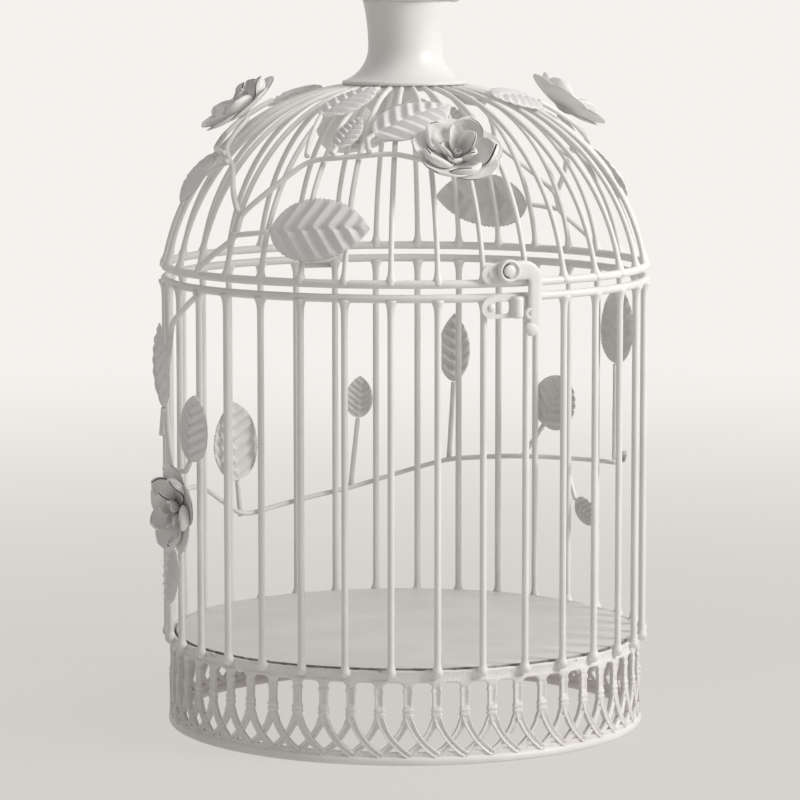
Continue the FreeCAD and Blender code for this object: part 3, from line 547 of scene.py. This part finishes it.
def leaf(stalk_end, tip, breadth, outward):
    """Pressed leaf: a pointed oval with a toothed edge, folded on its midrib, bent and veined.

    Teeth and slanting veins follow each other along it; across it, the height falls from the fold.
    """
    base = stalk_end + 0.4 * unit(tip - stalk_end)
    seat = outward * leaf_sheet / 2
    length = np.linalg.norm(tip - base)
    along = (tip - base) / length
    up = unit(outward - along * np.dot(outward, along))
    x = np.linspace(0, 1, 113)[:, None]
    half = breadth * length / 2
    run = np.where(x < leaf_broadest, leaf_broadest, 1 - leaf_broadest) * length
    arc = (run ** 2 + half ** 2) / (2 * half)
    edge = half - arc + np.sqrt(arc ** 2 - (length * (x - leaf_broadest)) ** 2)
    blunt = half * np.sqrt(1 - np.clip((leaf_broadest - x) / leaf_broadest, 0, 1) ** 2.4)
    edge = np.where(x < leaf_broadest, 0.4 * edge + 0.6 * blunt, edge)
    teeth = np.mod(x * leaf_teeth, 1)
    edge = np.maximum(edge * (1 - 0.05 * teeth * (x > 0.05) * (x < 0.97)), 0.02)
    strip = np.linspace(-1, 1, 25)
    across = np.concatenate([strip, strip[-2::-1]])
    face = np.concatenate([np.ones(25), -np.ones(24)])
    y = across * edge
    slant = x - 0.62 * np.abs(y) / length + 0.02 * np.sign(y)
    veins = np.abs(2 * np.mod(leaf_veins * slant, 1) - 1)
    fade = np.clip((1 - across ** 6) * np.minimum(1, 6 * (1 - x)) * np.minimum(1, 9 * x), 0, 1)
    pressed = (1.7 * veins - 0.85) * fade - 0.8 * swell(y, 0, 0.8) * fade
    radius = leaf_bend - leaf_sheet / 2 - np.abs(y) * math.tan(math.radians(leaf_fold)) + pressed
    level = math.sqrt(leaf_bend ** 2 - (length / 2) ** 2)
    z = np.sqrt(radius ** 2 - (length * (x - 0.5)) ** 2) - level
    z = z + face * leaf_sheet / 2 * (1 - across ** 8)
    side = np.cross(up, along)
    points = base + seat + (x * length)[..., None] * along + y[..., None] * side + z[..., None] * up
    return capped(points[None])


def petal(length, width, base, rises, wrap, hollow, twist, sheet):
    """Petal standing on a base point (radius, height): its slope goes through the rises in degrees.

    Its width is a rounded spoon; across, it wraps about an upright line, its edges stand up by the
    hollow and one edge stands above the other by the twist.
    """
    steps = 26
    v = np.linspace(0, 1, steps + 1)
    slope = np.radians(np.interp(v, np.linspace(0, 1, len(rises)), rises))
    slope = np.convolve(np.pad(slope, 3, mode="edge"), np.ones(7) / 7, mode="valid")
    out = base[0] + length * np.concatenate([[0], np.cumsum(np.cos(slope[1:]))]) / steps
    high = base[1] + length * np.concatenate([[0], np.cumsum(np.sin(slope[1:]))]) / steps
    spoon = 0.25 + 0.75 * np.sin(np.pi / 2 * np.clip(v / 0.62, 0, 1))
    half = width * spoon * np.sqrt(np.clip(1 - np.clip((v - 0.5) / 0.5, 0, 0.999) ** 3.6, 0, 1))
    strip = np.linspace(-1, 1, 17)
    across = np.concatenate([strip, strip[-2::-1]])
    face = np.concatenate([np.ones(17), -np.ones(16)])
    bowl = half[:, None] * (hollow * across ** 2 + twist * across)
    offset = bowl + face * sheet / 2 * np.sqrt(1 - 0.9 * across ** 6)
    r = wrap + out[:, None] - np.sin(slope)[:, None] * offset
    angle = half[:, None] * across / (wrap + out[:, None])
    z = high[:, None] + np.cos(slope)[:, None] * offset
    return capped(np.stack([r * np.cos(angle) - wrap, r * np.sin(angle), z + 0 * r], axis=-1))


def rosette(shape, first, press, *tall):
    """Copies of a petal spaced round the rose's own axis, one for each height it is stretched to."""
    angle = np.radians(first + np.arange(len(tall)) * 360 / len(tall))[:, None, None]
    c, s = np.cos(angle), np.sin(angle)
    x, y, z = shape[..., 0], shape[..., 1], shape[..., 2] * press * np.array(tall)[:, None, None]
    return np.stack([x * c - y * s, x * s + y * c, z], axis=-1)


def rose_parts(press, breadth):
    """The four layers of a rose about its own axis: flat petals, curled ones, upright ones and heart.

    The press is the share of the petals' height that is left, and the breadth the share of their width.
    """
    calyx = [(0, -2), (1.3, -2), (2.0, -1.5), (4.2, -0.3), (6.4, 0.8), (4.5, 1.2), (0, 1.2)]
    flat = petal(length=19.6, width=13.4 * breadth, base=(2.0, 0.4), rises=(8, 13, 18, 24, 32),
                 wrap=0, hollow=0.02, twist=0.05, sheet=1.0)
    curled = petal(length=19.4, width=8.3 * breadth, base=(3.0, 1.5), rises=(6, 8, 28, 70, 92),
                   wrap=16, hollow=0.36, twist=0.16, sheet=2.3)
    upright = petal(length=13.2, width=4.5 * breadth, base=(1.6, 2.4), rises=(30, 46, 66, 76, 56),
                    wrap=8, hollow=0.55, twist=0.08, sheet=1.8)
    heart = [(0, 0.2), (1.4, 0.2), (1.5, 3), (1.9, 4.2), (1.9, 5.2)]
    heart += [(1.5, 5.5), (1.1, 5.2), (1.0, 4.4), (0, 4.2)]
    outer = rosette(flat, 18, press, 0.9, 1.0, 0.92, 1.0, 0.88)
    middle = rosette(curled, 63, press, 1.0, 0.9, 0.8, 0.72, 0.9)
    inner = rosette(upright, 30, press, 0.92, 1.0, 0.62, 0.5, 0.7)
    return {"outer_petals": [lathe(calyx, 24), outer], "middle_petals": [middle],
            "inner_petals": [inner], "heart": [lathe(heart, 20) * [1, 1, press]]}


def rose_seat(point, outward):
    """Where a rose's petals start: above the middle of its stem by the wire's radius and the calyx."""
    return point + outward * (stem_wire / 2 + rose_gap + rose_calyx)


def placed(patches, point, outward):
    """Stand a rose on a stem: its axis outwards, its second axis uphill."""
    sideways = unit(np.cross([0.0, 0.0, 1.0], outward))
    axes = np.stack([sideways, np.cross(outward, sideways), outward])
    seat = rose_seat(point, outward)
    return [seat + patch @ axes for patch in patches]


def petal_paint(name, seats):
    """Paint with grey painted shade between the petals: full near each rose's seat, gone towards their
    ends.
    """
    def heart_shade_mask(place):
        depth = 1.0
        for seat in seats:
            ends = {0: place, 1: seat * MM}
            way = place.node("ShaderNodeVectorMath", {"operation": "DISTANCE"}, ends, "Value")
            depth = place.math("MINIMUM", way, depth)
        ragged = depth + 0.003 * place.noise(place, 260.0)
        return heart_shade_strength * (1 - ragged.between(7 * MM, 14 * MM))

    return paint(name, petal_white, petal_shade, gloss=0.45, lump_scale=300.0,
                 lump_depth=0.00015, marks=heart_shade_mask, mark=heart_shade_grey)


leaf_white = colour(0.815, 0.81, 0.795)
leaf_shade = colour(0.735, 0.73, 0.72)
leaf_paint = paint("leaf_paint", leaf_white, leaf_shade, gloss=0.5, lump_scale=480.0,
                   lump_depth=0.0002)
petal_white = colour(0.83, 0.822, 0.805)
petal_shade = colour(0.77, 0.762, 0.745)
# Grey of the painted shade deep in the roses' hearts, and how strongly it is laid on.
heart_shade_grey = colour(0.3, 0.29, 0.275)
heart_shade_strength = 0.55

main = stem(*on_body(route(garland_stem)))
piece("garland_stem_wire", "cage_body", [main], wire_paint, ["garland_stem"])
stalks = [stem(*on_body(route(stalk))) for stalk, tip, breadth in garland_leaves]
piece("garland_stalk_wires", "cage_body", stalks, wire_paint, ["garland_twigs"])
for number, (stalk, tip, breadth) in enumerate(garland_leaves, 1):
    (base, point), _ = on_body([stalk[-1], tip])
    outward = around((stalk[-1][0] + tip[0]) / 2, 1.0, 0.0)
    node = f"garland_leaf_{number}"
    piece(node + "_blade", "cage_body", [leaf(base, point, breadth, outward)], leaf_paint, [node])
rose_point, rose_outward = (values[0] for values in on_body([garland_rose]))
rose_paint = petal_paint("garland_rose_paint", [rose_seat(rose_point, rose_outward)])
for layer, patches in rose_parts(garland_rose_press, garland_rose_breadth).items():
    node = "garland_rose_" + layer
    piece(node + "_metal", "cage_body", placed(patches, rose_point, rose_outward), rose_paint, [node])


# Lid ring
# The hoop of round wire round the foot of the dome, the same as the cage's own ring.
# It carries the dome's wires and, at the front, the latch.

lid_ring_height = 211.2
piece("lid_ring_wire", "lid", [hoop(lid_ring_height)], wire_paint, ["lid_ring"])


# Dome wires
# Steel wires bent to one curve, welded to the lid ring below and to the crown plate's edge above.
# The paint runs into the corners at the ring.

dome_wire = 2.4
dome_bend = 95.0
dome_middle = (15.92, 197.98)
dome_foot_slope = 7.5
dome_top_slope = 87.4
dome_joint_radius = 2.3


def on_dome(places):
    """Points over the dome and directions outwards, from (bearing, slope, height above its wires)."""
    bearing, slope, lift = np.asarray(places, float).T
    level, rise = np.cos(np.radians(slope)), np.sin(np.radians(slope))
    radius = dome_middle[0] + (dome_bend + lift) * level
    height = dome_middle[1] + (dome_bend + lift) * rise
    return around(bearing, radius, height), around(bearing, level, rise)


def dome_wires():
    """Round wires along the dome's curve, one at each bar's bearing; the radius flares at the foot."""
    slope = np.concatenate([np.linspace(dome_foot_slope, 13, 12), np.linspace(15, dome_top_slope, 44)])
    radius = dome_wire / 2 + 1.1 * np.exp((9.2 - slope) / 1.1)
    radius = np.minimum(radius, dome_joint_radius)
    wires = []
    for bearing in bar_bearings:
        points, outward = on_dome(np.stack([0 * slope + bearing, slope, 0 * slope], axis=-1))
        side = np.broadcast_to(around(bearing + 90, 1.0, 0.0), points.shape)
        wires.append(swept(points, side, outward, disc(radius, 12)))
    return capped(np.stack(wires))


piece("dome_bent_wires", "lid", [dome_wires()], wire_paint, ["dome_wires"])


# Crown and cap
# A spun sheet neck and its turned cover, held down on the dome by an eye bolt through the crown plate.
# A nut under the plate draws the bolt tight, and a loose ring hangs in its eye.

neck_foot = 293.53
neck_foot_radius = 28.7
waist_radius = 16.8
waist_rise = 17.0
neck_top_radius = 19.3
neck_rise = 38.0
neck_lip = 1.2
neck_sheet = 1.2
cover_radius = 21.5
cover_edge = 1.6
cover_rise = 6.0
cover_flat = 6.0
cover_bore = 2.6


def flared(spread, rise, away):
    """Radius some way from the waist: a circle leaves it upright and reaches the spread at the rise."""
    bend = (spread ** 2 + rise ** 2) / (2 * spread)
    return waist_radius + bend - np.sqrt(bend ** 2 - away ** 2)


def neck():
    """Two circular flares that meet at the waist, and the same again inside, smaller by the sheet."""
    low = np.linspace(neck_lip, waist_rise, 26)
    low_radius = flared(neck_foot_radius - waist_radius, waist_rise - neck_lip, low - waist_rise)
    high = np.linspace(waist_rise, neck_rise, 16)[1:]
    high_radius = flared(neck_top_radius - waist_radius, neck_rise - waist_rise, high - waist_rise)
    lip = [(neck_foot_radius - 0.3, 0), (neck_foot_radius, 0.3), (neck_foot_radius, neck_lip - 0.3)]
    outside = np.concatenate([lip, np.stack([low_radius, low], -1), np.stack([high_radius, high], -1)])
    inside = np.maximum(outside[::-1] - [neck_sheet, 0], [0, 0])
    return lathe(np.concatenate([outside, inside, outside[:1]]) + [0, neck_foot], 72)


def cover():
    """Turned cover: an overhanging edge, then a quarter oval up to a flat top, round the bolt's bore."""
    foot = neck_foot + neck_rise
    turn = np.linspace(0, np.pi / 2, 14)
    across = cover_flat + (cover_radius - cover_flat) * np.cos(turn)
    top = np.stack([across, foot + cover_edge + (cover_rise - cover_edge) * np.sin(turn)], -1)
    edge = [(cover_bore, foot), (cover_radius - 0.5, foot), (cover_radius, foot + 0.5)]
    return lathe(np.concatenate([edge, top, [(cover_bore, foot + cover_rise), (cover_bore, foot)]]), 72)


cap_white = colour(0.83, 0.82, 0.8)
cap_shade = colour(0.785, 0.775, 0.755)
cap_paint = paint("cap_paint", cap_white, cap_shade, gloss=0.4, lump_scale=200.0,
                  lump_depth=0.00008)
piece("cap_neck_spinning", "lid", [neck()], cap_paint, ["cap_neck"])
piece("cap_cover_turning", "lid", [cover()], cap_paint, ["cap_cover"])
dress(latch_paint, "crown_plate", "eye_bolt", "crown_nut", "hanging_ring")


# Latch
# A cast plate on the front of the lid ring with a rivet, and a cast hook that swings on a pivot.
# The hook's arm drops past a small loop, beside the catch's post, and ends in a ball.

latch_height = 215.4
plate_left = -12.6
plate_right = 12.8
plate_sheet = 1.2
pivot_across = -0.9
pivot_height = 216.9
hook_front = 116.35
hook_sheet = 2.8
hook_bend = 4.9
hook_drop_across = 11.8
hook_lean = 1.3
hook_halves = (4.2, 4.2, 3.1, 2.8, 1.6)
hook_tip = (10.2, 191.4)
hook_loop = (9.6, 198.0)


def squarish(half, depth, power, count):
    """Rounded rectangle: cosine and sine raised to a power, times half the width and half the depth."""
    turn = np.linspace(0, 2 * np.pi, count + 1)
    c, s = np.cos(turn), np.sin(turn)
    across = np.asarray(half)[..., None] * np.sign(c) * np.abs(c) ** power
    lift = np.broadcast_to(depth * np.sign(s) * np.abs(s) ** power, across.shape)
    return np.stack([across, lift], axis=-1)


def latch_plate():
    """Plate with round ends: its half height follows a circle at each end."""
    turn = np.linspace(0.05, np.pi - 0.05, 41)
    middle = np.where(turn < np.pi / 2, plate_right - plate_half, plate_left + plate_half)
    x = middle + plate_half * np.cos(turn)
    path = np.stack([x, 0 * x - plate_front + plate_sheet / 2, 0 * x + latch_height], axis=-1)
    up = np.broadcast_to([0.0, 0.0, 1.0], path.shape)
    front = np.broadcast_to([0.0, -1.0, 0.0], path.shape)
    section = squarish(plate_half * np.sin(turn), plate_sheet / 2, 0.4, 24)
    return capped(swept(path, up, front, section)[None])


def hook_arm():
    """Cast arm: a tall bar to the right, round an elbow and down, narrower and leaning in at its end."""
    turn = np.linspace(np.pi / 2, 0, 16)
    elbow = (hook_drop_across - hook_bend, pivot_height - hook_bend)
    bar = np.stack([np.linspace(pivot_across, elbow[0], 10), np.full(10, pivot_height)], -1)
    curve = np.stack([elbow[0] + hook_bend * np.cos(turn), elbow[1] + hook_bend * np.sin(turn)], -1)
    drop = np.stack([np.full(16, hook_drop_across), np.linspace(elbow[1], hook_tip[1] - 1.6, 16)], -1)
    drop[:, 0] -= hook_lean * np.linspace(0, 1, 16) ** 4
    line = np.concatenate([bar, curve[1:], drop[1:]])
    path = np.stack([line[:, 0], 0 * line[:, 0] - hook_front + hook_sheet / 2, line[:, 1]], axis=-1)
    along = unit(np.gradient(path, axis=0))
    front = np.broadcast_to([0.0, -1.0, 0.0], path.shape)
    last = len(path) - 1
    half = np.interp(np.arange(last + 1), [0, 9, 24, last - 3, last], hook_halves)
    section = squarish(half, hook_sheet / 2, 0.62, 22)
    return capped(swept(path, np.cross(along, front), front, section)[None])


def hook_eye():
    """Round eye of the hook: a thick rim round a deep groove that holds the pivot's head."""
    rim = [(4.6, 0.0), (5.0, 0.4), (5.0, 3.2), (4.7, 3.7), (4.2, 3.85), (3.8, 3.6), (3.5, 3.0)]
    profile = [(1.6, 0.0)] + rim + [(3.4, 1.0), (1.6, 1.0), (1.6, 0.0)]
    return facing_front(lathe(profile, 36), pivot_across, -hook_front + hook_sheet, pivot_height)


def loop():
    """Small flat ring beside the arm: a rounded square section turned about the hole."""
    section = squarish(np.array(0.75), 1.3, 0.7, 16)
    ring = lathe(section + [1.95, 1.4], 28)
    return facing_front(ring, hook_loop[0], -hook_front + hook_sheet, hook_loop[1])


def ball(radius, x, y, z, flat):
    """Ball flattened front to back."""
    turn = np.linspace(0, np.pi, 15)
    rows = lathe(np.stack([radius * np.sin(turn), radius * np.cos(turn)], -1), 22)
    return rows * [1, flat, 1] + [x, y, z]


piece("latch_plate_casting", "lid", [latch_plate()], latch_paint, ["latch_plate"])
latch_head = rivet(1.7, 1.0, rivet_across, -plate_front, latch_height)
piece("latch_rivet_head", "lid", [latch_head], latch_paint, ["latch_rivet"])
pivot_head = rivet(2.6, 1.0, pivot_across, -hook_front - 0.3, pivot_height)
piece("latch_pivot_head", "lid", [pivot_head], latch_paint, ["latch_pivot"])
tip = ball(3.4, hook_tip[0], -hook_front + hook_sheet / 2, hook_tip[1], 0.55)
piece("latch_hook_casting", "latch", [hook_arm(), hook_eye(), loop(), tip], latch_paint, ["latch_hook"])


# Lid vines
# Two vines of bent wire, alike and opposite each other, that climb the dome from the lid ring.
# Each has six pressed leaves on stalks and two roses, all brazed on.

dome_stem_lift = 3.0
front_rose = (-9.5, 40, 0)
side_rose = (-98.7, 54.5, 0.35)
front_rose_lean = 13.0
side_rose_press = 0.8
vine_stem = [
    (-77.4, 9.6, 0.2), (-66.2, 18.7, 0), (-66.3, 25, 0), (-51.2, 41.6, 0), (-27, 44.3, 0), front_rose,
]
vine_rise = [(-66.3, 25, on_stem), (-77.7, 37.8, 0), (-90.8, 44, 0.15), side_rose]
high_stalk = [(-51.2, 41.6, on_stem), (-54.4, 50, 0.2), (-55.9, 57.5, 0.3)]
crown_stalk = [(-33.4, 43.5, on_stem), (-35, 48.6, 0.3), (-33.4, 50.4, 0.2)]
rear_stalk = [(-84.2, 40.9, 1.16), (-97, 42.8, 0.5), (-108, 51, 0.3), (-118, 63, 0.2)]
vine_leaves = {
    "big_leaf": ([(-66.2, 18.7, on_stem), (-56.4, 20.5, 0.2)], (-31.3, 22.1, 0.2), 0.63),
    "side_leaf": ([(-79.5, 38.65, on_stem), (-91, 35, 0.2)], (-113, 31, 0.1), 0.7),
    "high_leaf": (high_stalk, (-41, 75, 0.3), 0.61),
    "slim_leaf": ([(-43.8, 42.4, on_stem), (-43.4, 44.6, 0.8)], (-39, 56.5, 0.8), 0.56),
    "crown_leaf": (crown_stalk, (-4, 63, 0.3), 0.62),
    "rear_leaf": (rear_stalk, (-154.4, 68.1, 0.1), 0.63),
}


def vine_places(places, turn):
    """Places of the vine turned to its side of the lid and lifted off the dome's wires."""
    return np.asarray(places, float) * [1, 1, stem_wire] + [turn, 0, dome_stem_lift]


for side, turn in {"front": 0, "rear": 180}.items():
    main = stem(*on_dome(route(vine_places(vine_stem, turn))))
    piece(side + "_vine_stem_wire", "lid", [main], wire_paint, [side + "_vine_stem"])
    stalks = [vine_rise] + [stalk for stalk, tip, breadth in vine_leaves.values()]
    stalks = [stem(*on_dome(route(vine_places(stalk, turn)))) for stalk in stalks]
    piece(side + "_vine_stalk_wires", "lid", stalks, wire_paint, [side + "_vine_twigs"])
    for name, (stalk, tip, breadth) in vine_leaves.items():
        ends = vine_places([stalk[-1], tip], turn)
        (base, point), _ = on_dome(ends)
        _, (outward,) = on_dome(ends.mean(0, keepdims=True))
        node = side + "_" + name
        piece(node + "_blade", "lid", [leaf(base, point, breadth, outward)], leaf_paint, [node])

roses = []
for turn in (0, 180):
    places = vine_places([front_rose, side_rose], turn)
    points, _ = on_dome(places)
    _, looks = on_dome(places + [[0, front_rose_lean, 0], [0, 0, 0]])
    roses += zip(points, looks, (1.0, side_rose_press))
seats = [rose_seat(point, outward) for point, outward, press in roses]
rose_paint = petal_paint("lid_rose_paint", seats)
for layer, patches in rose_parts(1.0, 1.0).items():
    standing = []
    for point, outward, press in roses:
        standing += placed([patch * [1, 1, press] for patch in patches], point, outward)
    node = "lid_rose_" + layer
    piece(node + "_metal", "lid", standing, rose_paint, [node])


# Studio
# A plain pale floor under an even sky, a large soft lamp on the right and a weaker one above.
# The camera stands where the photograph was taken from.

camera_bearing = -23.3
camera_distance = 1780.0
camera_height = 358.6
camera_pitch = 6.74
camera_lens = 175.2
camera_sensor = 36.0
camera_shift = -0.00625
floor_half = 60.0
aim_height = 0.17
floor_pale = colour(0.9, 0.885, 0.865)
# Grey the floor is painted near the cage, as painted shade, going over to far_white away from it.
near_floor_shade = colour(0.66, 0.63, 0.605)
far_white = colour(0.905, 0.885, 0.85)


def seen_directly(start):
    """One for rays from the camera, mirrors and glass, and zero for the rays that light the cage."""
    camera, mirror, glass = (start.node("ShaderNodeLightPath", {}, {}, f"Is {kind} Ray")
                             for kind in ("Camera", "Glossy", "Transmission"))
    return start.math("MINIMUM", camera + mirror + glass, 1.0)


def studio_floor():
    """Wide pale floor with a glow: painted shade near the cage, white farther off, and painted bounce
    light on the cage.
    """
    mesh = bpy.data.meshes.new("studio_floor")
    corners = np.array([(-1, -1, 0), (1, -1, 0), (1, 1, 0), (-1, 1, 0)]) * floor_half
    mesh.from_pydata(corners.tolist(), [], [(0, 1, 2, 3)])
    material = bpy.data.materials.new("studio_floor")
    material.use_nodes = True
    tree = material.node_tree
    start = Shade(tree)
    place = start.node("ShaderNodeTexCoord", {}, {}, "Object")
    distance = start.node("ShaderNodeVectorMath", {"operation": "LENGTH"}, {0: place}, "Value")
    pale = distance.between(0.2, 1.6).blend(near_floor_shade, far_white)
    white = start.node("ShaderNodeEmission", {}, {"Color": pale})
    painted = tree.nodes["Principled BSDF"]
    painted.inputs["Base Color"].default_value = floor_pale
    painted.inputs["Roughness"].default_value = 0.8
    # Share of glow: 0.4 for the rays that light the cage, as painted bounce light, and nearly all for
    # rays seen directly.
    fade = 0.4 + seen_directly(start) * (0.5 + 0.1 * distance.between(0.1, 0.6))
    shaders = {0: fade, 1: Shade(tree, painted.outputs[0]), 2: white}
    mixed = start.node("ShaderNodeMixShader", {}, shaders)
    tree.links.new(mixed.socket, tree.nodes["Material Output"].inputs["Surface"])
    mesh.materials.append(material)
    made = bpy.data.objects.new("studio_floor", mesh)
    bpy.context.scene.collection.objects.link(made)


def soft_lamp(name, bearing, height, distance, size, power, tint):
    """Square area lamp on a bearing round the cage, aimed at its middle."""
    data = bpy.data.lights.new(name, "AREA")
    data.size = size
    data.energy = power
    data.color = tint
    made = bpy.data.objects.new(name, data)
    made.location = around(bearing, distance, height)
    direction = np.array([0, 0, aim_height]) - np.array(made.location)
    level = math.hypot(direction[0], direction[1])
    made.rotation_euler = (math.atan2(level, -direction[2]), 0, math.atan2(-direction[0], direction[1]))
    bpy.context.scene.collection.objects.link(made)


def sky(strength, tint):
    """Even daylight that looks as white as the far floor where it is seen directly."""
    world = bpy.data.worlds.new("daylight")
    world.use_nodes = True
    tree = world.node_tree
    start = Shade(tree)
    light = tree.nodes["Background"]
    light.inputs["Color"].default_value = tint
    light.inputs["Strength"].default_value = strength
    white = start.node("ShaderNodeBackground", {}, {"Color": far_white})
    shaders = {0: seen_directly(start), 1: Shade(tree, light.outputs[0]), 2: white}
    mixed = start.node("ShaderNodeMixShader", {}, shaders)
    tree.links.new(mixed.socket, tree.nodes["World Output"].inputs["Surface"])
    bpy.context.scene.world = world


def camera():
    """Camera on its bearing round the cage, turned towards the axis and tipped down by its pitch."""
    data = bpy.data.cameras.new("camera")
    data.lens = camera_lens
    data.sensor_width = camera_sensor
    data.shift_x = camera_shift
    data.clip_end = 100
    made = bpy.data.objects.new("camera", data)
    made.location = around(camera_bearing, camera_distance * MM, camera_height * MM)
    made.rotation_euler = (math.radians(90 - camera_pitch), 0, math.radians(camera_bearing))
    bpy.context.scene.collection.objects.link(made)
    bpy.context.scene.camera = made


studio_floor()
sky(strength=0.22, tint=colour(1.0, 0.99, 0.975))
soft_lamp("right_lamp", bearing=46.0, height=0.8, distance=1.15, size=0.55, power=12.4,
          tint=(1.0, 0.985, 0.96))
soft_lamp("top_lamp", bearing=-20.0, height=1.75, distance=0.4, size=1.2, power=6.0,
          tint=(1.0, 0.99, 0.98))
camera()
bpy.context.scene.view_settings.view_transform = "Standard"
